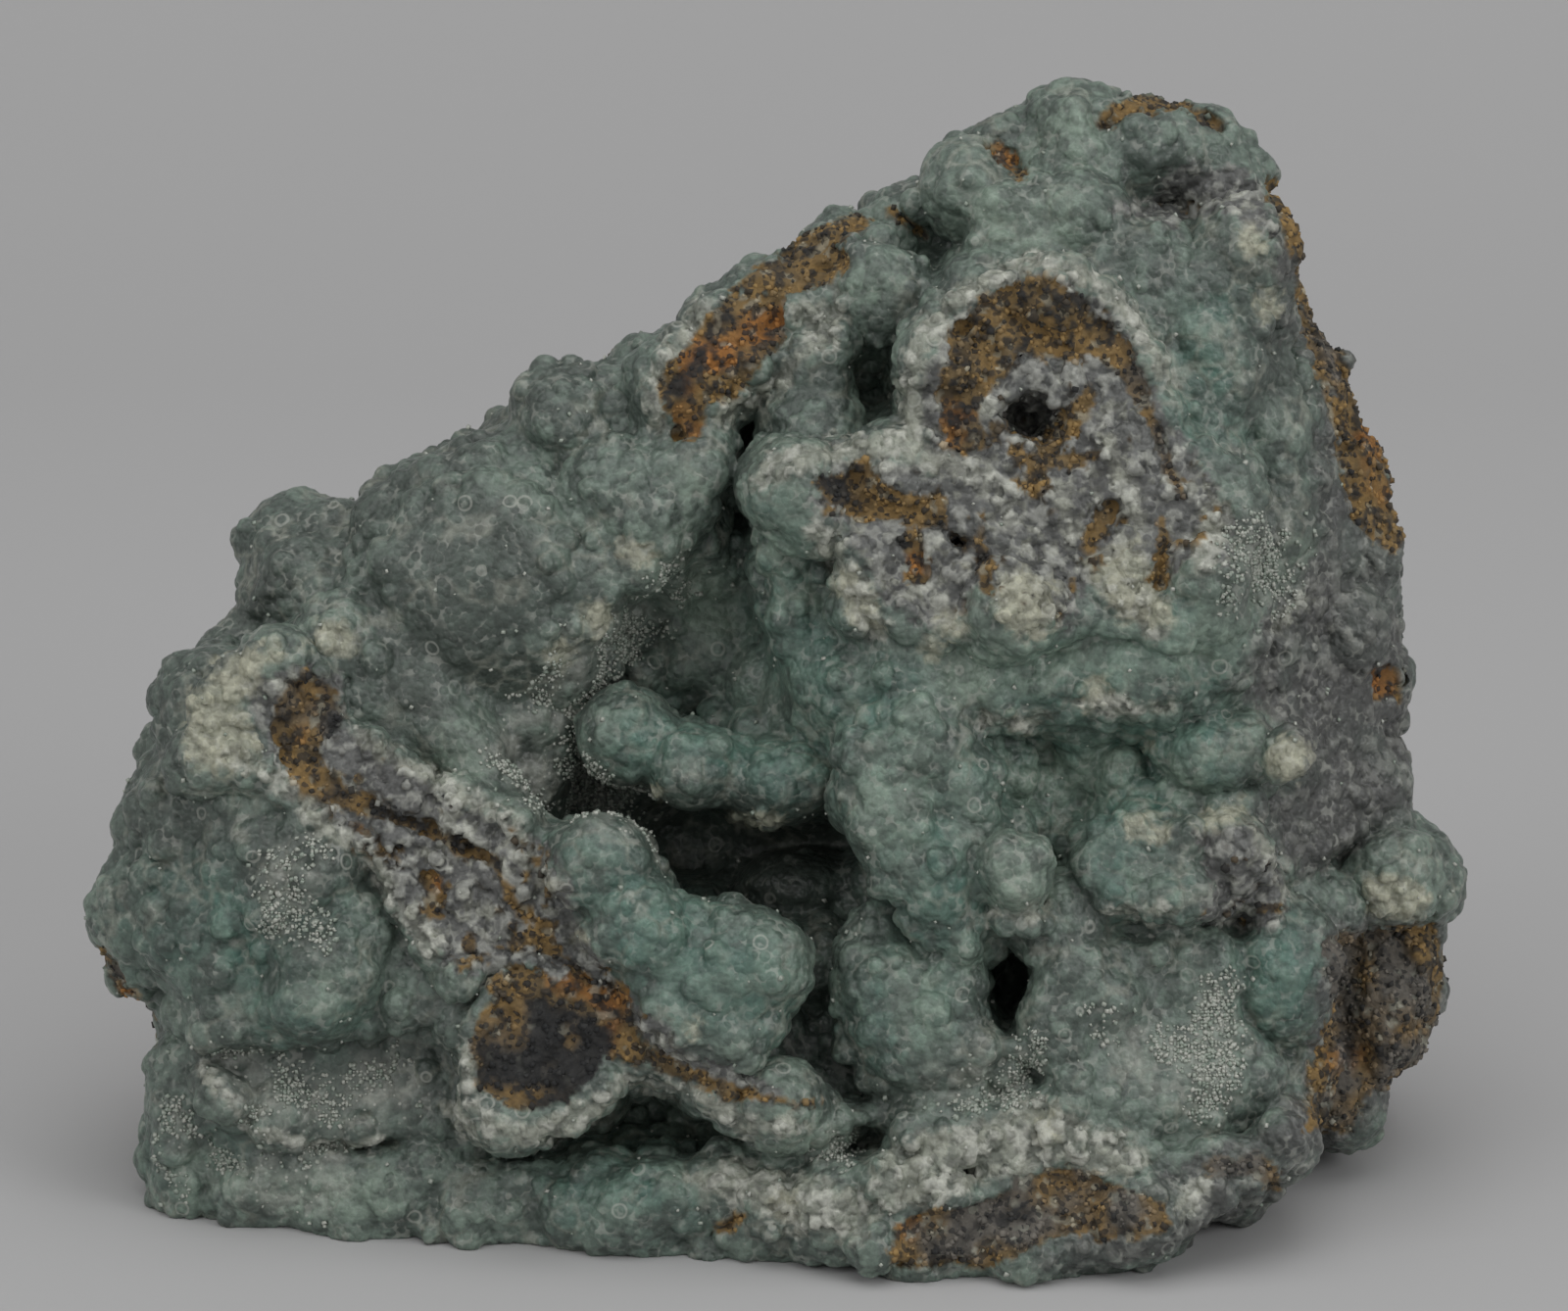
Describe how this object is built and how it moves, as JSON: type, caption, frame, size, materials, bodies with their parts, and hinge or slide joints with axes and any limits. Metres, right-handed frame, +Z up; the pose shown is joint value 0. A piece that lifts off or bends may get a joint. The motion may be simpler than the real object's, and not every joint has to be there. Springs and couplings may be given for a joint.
{
  "type": "smithsonite specimen",
  "caption": "Loose cabinet specimen of smithsonite: blue-green botryoidal crust round an open vug, on ochre and black gangue, resting on a flat base.",
  "frame": {"origin": "under the middle of the specimen, on the surface that it rests on", "axes": "+Z up, +X along the specimen's width, -Y towards the viewer of the showy side"},
  "size_m": [0.1375, 0.0756, 0.111],
  "materials": {
    "crust": "satin blue-green botryoidal crust with pale grey-green frosted edges",
    "gangue": "matt ochre-brown and black granular gangue where the crust is broken away",
    "drusy": "glittering colourless to white micro-crystals"
  },
  "bodies": {
    "root": {"smithsonite": "crust"}
  },
  "joints": []
}
